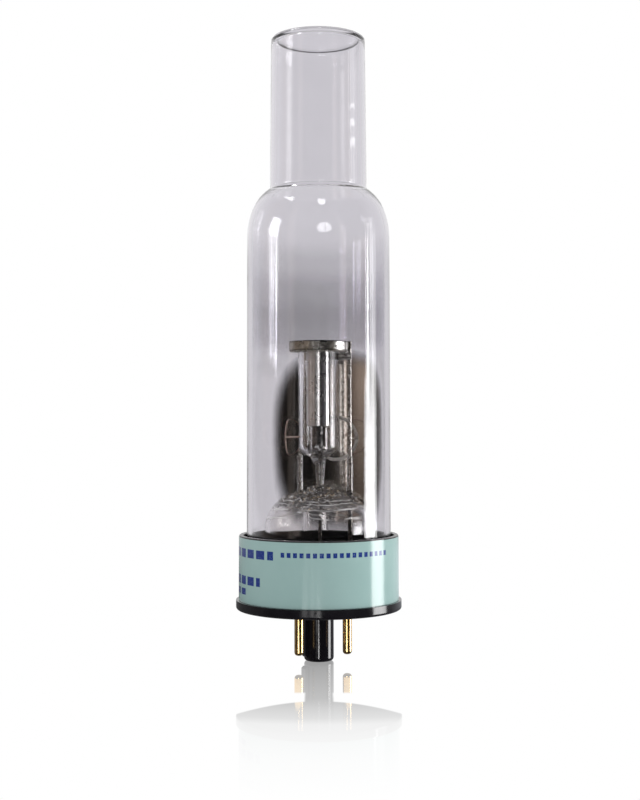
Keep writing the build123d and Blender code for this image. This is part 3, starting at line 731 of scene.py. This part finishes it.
# ------------------------------------------------------------------ finish of the pieces that stay as built
LOOK = {
    "exhaust_tube": ("sleeve", 40),
    "cathode_cup": ("cathode", 30),
    "cathode_stud": ("stud", 30),
    "cathode_lead_rod": ("lead", 30),
    "stud_liner": ("sleeve", 40),
    "cathode_shield": ("sleeve", 40),
    "mica_disc": ("mica", 30),
    "anode_ring": ("anode", 30),
    "anode_support_rod": ("rod", 30),
    "anode_seal_rod": ("lead", 30),
    "left_support_rod": ("rod", 30),
    "right_bead_sleeve": ("sleeve", 40),
    "left_bead_sleeve": ("sleeve", 40),
    "shield_clip": ("clip", 30),
    "right_getter_ring": ("getter", 30),
    "right_getter_strut": ("getter", 30),
    "left_getter_strut": ("getter_dark", 30),
    "base_shell": ("moulding", 30),
    "pin_1": ("gold", 35),
    "pin_3": ("gold", 35),
    "label_band": ("label", 30),
    "basing_cement": ("cement", 30),
    "anode_lead_wire": ("wire", 40),
    "cathode_lead_wire": ("wire", 40),
}
for node, (look, angle) in LOOK.items():
    obj = NODES[node]
    if not obj.material_slots:
        obj.data.materials.append(M[look])
    for s in obj.material_slots:
        s.material = M[look]
    sharp_by_angle(obj, angle)

# ------------------------------------------------------------------ floor
FLOOR_Z = CAD_BOX[0][2]
size = 3.0
mesh = bpy.data.meshes.new("floor")
mesh.from_pydata([(-size, -size, FLOOR_Z), (size, -size, FLOOR_Z), (size, size, FLOOR_Z), (-size, size, FLOOR_Z)], [], [(0, 1, 2, 3)])
floor = bpy.data.objects.new("floor", mesh)
bpy.context.scene.collection.objects.link(floor)
m = material("floor_look")
n = Net(m.node_tree)
co = n.coords()
x, y, z = n.xyz(co)
rho = n.math("SQRT", n.math("ADD", n.math("MULTIPLY", x, x), n.math("MULTIPLY", y, y)))
fade = n.ramp(n.math("MULTIPLY", rho, 8.0), [(0.0, 0.67), (0.08, 0.64), (0.37, 0.49), (0.45, 0.36), (0.53, 0.26), (0.575, 0.13), (0.64, 0.10), (0.80, 0.04), (1.0, 0.0)])
# in front of the lamp the mirror leaves out most of the base's underside, up to a shallow arch
arch = n.math("MULTIPLY", n.math("ADD", 0.0502, n.math("MULTIPLY", n.math("MULTIPLY", x, x), 41.0)), -1.0)
hide = n.math("MULTIPLY", n.remap(n.math("ABSOLUTE", x), 0.0029, 0.0034, 0.0, 1.0), n.remap(n.math("SUBTRACT", y, arch), 0.0, 0.0012, 0.0, 1.0))
hide = n.math("MULTIPLY", hide, n.remap(y, -0.0395, -0.0415, 0.0, 1.0))
fade = n.math("MULTIPLY", fade, n.math("SUBTRACT", 1.0, hide))
em = n.add("ShaderNodeEmission")
em.inputs["Color"].default_value = (1.0, 1.0, 1.0, 1.0)
em.inputs["Strength"].default_value = 1.0
gl = n.add("ShaderNodeBsdfGlossy")
gl.inputs["Color"].default_value = (1.0, 1.0, 1.0, 1.0)
gl.inputs["Roughness"].default_value = 0.02
mx = n.add("ShaderNodeMixShader")
n.link(fade, mx.inputs[0])
n.link(em.outputs[0], mx.inputs[1])
n.link(gl.outputs[0], mx.inputs[2])
n.out(mx.outputs[0])
m.cycles.emission_sampling = "NONE"
floor.data.materials.append(m)
floor.visible_glossy = False
floor.visible_transmission = False
floor.visible_shadow = False


# ------------------------------------------------------------------ light
from mathutils import Vector


def softbox(name, azimuth, distance, z0, z1, half_angle, radiance, color=(1.0, 1.0, 1.0), shape="RECTANGLE", aim=0.05, shade=None, only=None):
    """A lit panel seen from the lamp at azimuth degrees (0 is towards the camera, + to the right)."""
    a = math.radians(azimuth)
    zc = (z0 + z1) / 2
    width = 2 * distance * math.tan(math.radians(half_angle))
    light = bpy.data.lights.new(name, "AREA")
    light.shape = shape
    light.size = width
    light.size_y = z1 - z0
    area = width * (z1 - z0)
    if shape == "ELLIPSE":
        area *= math.pi / 4
    light.energy = radiance * math.pi * area
    light.color = color
    if shade:
        light.use_nodes = True
        light.node_tree.nodes.clear()
        g = Net(light.node_tree)
        place = g.add("ShaderNodeNewGeometry").outputs["Position"]
        px, py, pz = g.xyz(place)
        side = g.math("DEGREES", g.math("ARCTAN2", px, g.math("MULTIPLY", py, -1.0)))
        glow = g.add("ShaderNodeEmission")
        g.put(glow.inputs["Strength"], shade(g, place, side, pz))
        lo = g.add("ShaderNodeOutputLight")
        g.link(glow.outputs[0], lo.inputs["Surface"])
    obj = bpy.data.objects.new(name, light)
    obj.location = (distance * math.sin(a), -distance * math.cos(a), zc)
    direction = Vector((0, 0, zc if abs(zc - aim) < 0.12 else aim)) - Vector(obj.location)
    obj.rotation_euler = direction.to_track_quat("-Z", "Y").to_euler()
    obj.visible_camera = False
    bpy.context.scene.collection.objects.link(obj)
    if only is not None:
        obj.light_linking.receiver_collection = only
    return obj


def band(g, value, lo, hi, soft):
    up = g.remap(value, lo - soft, lo + soft, 0.0, 1.0, "SMOOTHSTEP")
    down = g.remap(value, hi - soft, hi + soft, 1.0, 0.0, "SMOOTHSTEP")
    return g.math("MULTIPLY", up, down)


def right_shade(g, place, side, pz):
    """Weak and streaky at its top, strong below, with a thin bright line along its near edge."""
    level = g.ramp(g.remap(pz, -0.15, 0.31, 0.0, 1.0), [(0.0, 9.0), (0.24, 9.5), (0.27, 11.0), (0.36, 11.5), (0.49, 9.0), (0.53, 5.2), (0.61, 4.2), (0.665, 3.0), (0.72, 1.2), (0.80, 1.7), (0.93, 1.6), (1.0, 0.8)])
    streak = g.noise(g.scaled(place, (10.0, 75.0, 9.0)), 1.0, 3.0)
    upper = g.remap(pz, 0.03, 0.11, 0.0, 1.0)
    torn = g.remap(streak, 0.38, 0.62, 0.15, 1.25, "SMOOTHSTEP")
    near = g.ramp(g.remap(pz, 0.03, 0.11, 0.0, 1.0), [(0.0, 0.0), (0.45, 0.08), (0.72, 0.45), (0.85, 1.0)])
    edge = g.math("ADD", g.math("MULTIPLY", near, 9.4), 79.0)
    wide = g.math("MULTIPLY", g.remap(g.math("SUBTRACT", side, edge), -0.9, 0.9, 0.0, 1.0, "SMOOTHSTEP"), g.remap(side, 103.4, 105.0, 1.0, 0.0, "SMOOTHSTEP"))
    main = g.math("MULTIPLY", wide, g.math("ADD", g.math("MULTIPLY", upper, g.math("SUBTRACT", torn, 1.0)), 1.0))
    main = g.math("MULTIPLY", main, g.remap(side, 94.0, 104.0, 1.0, 0.62))
    line = g.math("MULTIPLY", band(g, side, 83.2, 85.2, 0.5), g.remap(pz, 0.05, 0.105, 1.2, 7.0))
    line = g.math("MULTIPLY", line, g.remap(pz, 0.150, 0.172, 1.0, 0.25, "SMOOTHSTEP"))
    return g.math("MULTIPLY", g.math("MAXIMUM", main, line), level)


def left_shade(g, place, side, pz):
    """A narrow bright line with a soft streaky band beside it, and a weak glow above."""
    body = g.ramp(g.remap(pz, 0.06, 0.34, 0.0, 1.0), [(0.0, 0.0), (0.20, 0.0), (0.34, 1.0), (0.47, 1.0), (0.54, 0.0)])
    streak = g.remap(g.noise(g.scaled(place, (60.0, 60.0, 8.0)), 1.0, 3.0), 0.38, 0.62, 0.35, 1.15, "SMOOTHSTEP")
    lines = g.math("ADD", g.math("MULTIPLY", band(g, side, -69.8, -67.4, 0.5), 5.5), g.math("MULTIPLY", g.math("MULTIPLY", band(g, side, -84.5, -74.5, 1.2), 2.6), streak))
    high = g.math("MULTIPLY", g.remap(pz, 0.20, 0.235, 0.0, 1.5), band(g, side, -80.0, -67.0, 2.0))
    return g.math("ADD", g.math("MULTIPLY", lines, body), high)


def low_shade(g, place, side, pz):
    """A low source in front: soft towards its rim, with a dark stand across its middle."""
    da = g.math("DIVIDE", g.math("ADD", side, 11.5), 15.0)
    dz = g.math("DIVIDE", g.math("ADD", pz, 0.212), 0.115)
    rad = g.math("SQRT", g.math("ADD", g.math("MULTIPLY", da, da), g.math("MULTIPLY", dz, dz)))
    rag = g.math("MULTIPLY", g.math("SUBTRACT", g.noise(place, 22.0, 3.0), 0.5), 0.5)
    body = g.remap(g.math("ADD", rad, rag), 0.82, 1.05, 1.0, 0.0, "SMOOTHSTEP")
    notch = g.math("MULTIPLY", band(g, side, -14.6, -12.4, 0.6), band(g, pz, -0.22, -0.13, 0.01))
    return g.math("MULTIPLY", body, g.math("SUBTRACT", 1.0, g.math("MULTIPLY", notch, 0.8)))


def neck_shade(g, place, side, pz):
    """A column of small broken patches, far enough up to show on the neck only."""
    broken = g.remap(g.noise(place, 260.0, 2.0), 0.36, 0.52, 0.45, 1.0, "SMOOTHSTEP")
    total = 0.0
    for low, high in ((0.3700, 0.3755), (0.3515, 0.3580), (0.3305, 0.3390), (0.2870, 0.3010)):
        total = g.math("MAXIMUM", total, band(g, pz, low, high, 0.0015))
    return g.math("MULTIPLY", total, broken)


def neck_left_shade(g, place, side, pz):
    """One short patch, the fainter counterpart at the left."""
    broken = g.remap(g.noise(place, 260.0, 2.0), 0.36, 0.52, 0.45, 1.0, "SMOOTHSTEP")
    total = band(g, pz, 0.2830, 0.2960, 0.0015)
    return g.math("MULTIPLY", total, broken)


def bars_shade(g, place, side, pz):
    """Two upright bars and a short soft one across them."""
    upright = g.math("MULTIPLY", g.math("MAXIMUM", band(g, side, -18.0, -15.6, 0.8), band(g, side, -10.4, -8.0, 0.8)), band(g, pz, -0.0685, -0.048, 0.003))
    lower = g.math("MULTIPLY", g.math("MAXIMUM", band(g, side, -23.5, -15.0, 1.5), band(g, side, -12.0, -6.5, 1.5)), band(g, pz, -0.116, -0.087, 0.004))
    lowest = g.math("MULTIPLY", band(g, side, -3.0, 1.6, 1.0), band(g, pz, -0.19, -0.116, 0.004))
    upright = g.math("MAXIMUM", upright, g.math("MULTIPLY", g.math("MAXIMUM", lower, g.math("MULTIPLY", lowest, 7.0)), 1.5))
    across = g.math("MULTIPLY", g.math("MULTIPLY", band(g, side, -19.0, -6.0, 2.5), band(g, pz, -0.0685, -0.0645, 0.0022)), 0.7)
    return g.math("MULTIPLY", g.math("MAXIMUM", upright, across), 2.0)


def linked(name, *names):
    group = bpy.data.collections.new(name)
    for o in bpy.data.objects:
        if o.name in names:
            group.objects.link(o)
    return group


everything_but_cathode = linked("lit_by_right_box", *[o.name for o in bpy.data.objects if o.type == "MESH" and o.name != NODES["cathode_cup"].name])
cathode_only = linked("lit_cathode", NODES["cathode_cup"].name)
glass_only = linked("lit_glass", "lamp_glass")
low_lit = linked("lit_low", "lamp_glass", NODES["pin_1"].name, NODES["pin_3"].name)
base_only = linked("lit_base", NODES["base_shell"].name, NODES["label_band"].name)
anode_only = linked("lit_anode", NODES["anode_ring"].name)

softbox("right_box", 90.5, 0.53, -0.15, 0.31, 15.5, 1.0, shade=right_shade, only=everything_but_cathode)
softbox("left_strip", -76.0, 0.60, 0.06, 0.34, 10.5, 1.0, shade=left_shade, only=glass_only)
softbox("front_dish", 7.0, 0.8, 0.95, 1.12, 8.0, 9.0, shape="ELLIPSE", aim=0.10)
softbox("top_left_dish", -66.0, 0.7, 0.93, 1.10, 6.0, 7.0, shape="ELLIPSE", aim=0.10)
softbox("front_low", -11.5, 0.7, -0.33, -0.095, 16.0, 6.0, aim=0.05, shade=low_shade, only=low_lit)
softbox("front_bars", -10.0, 0.7, -0.20, -0.04, 13.0, 1.0, shade=bars_shade, only=base_only)
patches = softbox("neck_patches", 90.0, 1.0, 0.28, 0.384, 8.5, 6.0, aim=0.32, shade=neck_shade, only=glass_only)
left_patch = softbox("neck_left_patch", -77.0, 1.0, 0.278, 0.302, 7.0, 5.0, aim=0.29, shade=neck_left_shade, only=glass_only)
patches.visible_transmission = False      # only mirrored by the outer surface, never seen through the glass
left_patch.visible_transmission = False
softbox("anode_glint", 112.0, 0.6, -0.05, 0.25, 19.0, 2.2, only=anode_only)
softbox("cathode_strip", 1.5, 1.0, -0.02, 0.22, 5.5, 10.0, only=cathode_only)

world = bpy.data.worlds.new("studio")
world.use_nodes = True
bpy.context.scene.world = world
world.node_tree.nodes.clear()
n = Net(world.node_tree)
direction = n.add("ShaderNodeTexCoord").outputs["Generated"]
x, y, z = n.xyz(direction)
az = n.math("ARCTAN2", x, n.math("MULTIPLY", y, -1.0))
turn = n.math("ADD", n.math("DIVIDE", az, 2 * math.pi), 0.5)     # 0 and 1 behind, 0.25 left, 0.5 camera side, 0.75 right
el = n.math("DEGREES", n.math("ARCSINE", z))


def at(deg):
    return deg / 360.0 + 0.5


BACK = (0.66, 0.643, 0.680)
def part(k):
    return tuple(c * k for c in BACK)


through = n.ramp(
    turn,
    [
        (at(-180), BACK),
        (at(-173), BACK),
        (at(-164), part(1.05)),
        (at(-135), part(1.0)),
        (at(-112), (0.54, 0.52, 0.54)),
        (at(-97), (0.54, 0.43, 0.35)),
        (at(-78), (0.45, 0.355, 0.295)),
        (at(-62), (0.20, 0.155, 0.13)),
        (at(-54), (0.07, 0.058, 0.05)),
        (at(-51.5), (0.72, 0.60, 0.52)),
        (at(-46.0), (0.86, 0.72, 0.63)),
        (at(-40.0), (0.66, 0.60, 0.56)),
        (at(-38.0), (0.05, 0.044, 0.04)),
        (at(-8), (0.018, 0.017, 0.016)),
        (at(15), (0.012, 0.012, 0.012)),
        (at(75), (0.018, 0.018, 0.02)),
        (at(105), (0.38, 0.365, 0.39)),
        (at(135), part(0.97)),
        (at(164), part(1.0)),
        (at(173), BACK),
        (at(180), BACK),
    ],
)
sunk = n.math("MULTIPLY", n.remap(el, -3.0, 1.6, 0.74, 0.0), band(n, n.math("DEGREES", az), -104.0, -57.0, 6.0))
through = n.mix_color(sunk, through, (0.0, 0.0, 0.0))
upper = n.remap(el, 28.0, 60.0, 0.0, 1.0, "SMOOTHSTEP")
through = n.mix_color(upper, through, (0.56, 0.55, 0.575))
lower = n.remap(el, -14.0, -40.0, 0.0, 1.0, "SMOOTHSTEP")
through = n.mix_color(lower, through, (0.30, 0.29, 0.31))
sky = n.remap(el, 6.0, 8.5, 0.0, 1.0, "SMOOTHSTEP")
plain = n.ramp(turn, [(0.0, 0.55), (at(-135), 0.50), (at(-112), 0.52), (at(-97), (0.44, 0.40, 0.38)), (at(-76), (0.14, 0.12, 0.11)), (at(-30), (0.03, 0.028, 0.026)), (at(75), 0.02), (at(105), 0.34), (at(135), 0.50), (1.0, 0.55)])
left_dim = n.math("MULTIPLY", n.remap(el, -5.2, -6.6, 0.0, 0.75), n.remap(az, 0.0, -0.2, 0.0, 1.0))
right_dim = n.math("MULTIPLY", n.remap(el, -7.3, -8.3, 0.0, 0.75), n.remap(az, 0.0, 0.2, 0.0, 1.0))
right_lit = n.math("MULTIPLY", n.remap(el, -5.0, -5.8, 0.0, 0.6), n.remap(az, 2.1, 2.4, 0.0, 1.0))
plain = n.mix_color(right_lit, plain, (0.85, 0.88, 0.95))
plain = n.mix_color(n.math("MAXIMUM", left_dim, right_dim), plain, (0.0, 0.0, 0.0))
gloss = n.mix_color(sky, plain, (1.0, 1.0, 1.0))
lp = n.add("ShaderNodeLightPath")
color = n.mix_color(lp.outputs["Is Transmission Ray"], gloss, through)
color = n.mix_color(lp.outputs["Is Diffuse Ray"], color, (0.80, 0.80, 0.82))
color = n.mix_color(lp.outputs["Is Camera Ray"], color, (1.0, 1.0, 1.0))
bg = n.add("ShaderNodeBackground")
n.link(color, bg.inputs["Color"])
wo = n.add("ShaderNodeOutputWorld")
n.link(bg.outputs[0], wo.inputs["Surface"])
world.cycles.sampling_method = "NONE"

# ------------------------------------------------------------------ how light is followed
scene = bpy.context.scene
scene.view_settings.view_transform = "Standard"
scene.view_settings.look = "None"
scene.cycles.max_bounces = 24
scene.cycles.transmission_bounces = 20
scene.cycles.transparent_max_bounces = 24
scene.cycles.glossy_bounces = 8
scene.cycles.diffuse_bounces = 3
scene.cycles.caustics_reflective = False
scene.cycles.caustics_refractive = False
scene.cycles.blur_glossy = 0.3
scene.cycles.use_denoising = True
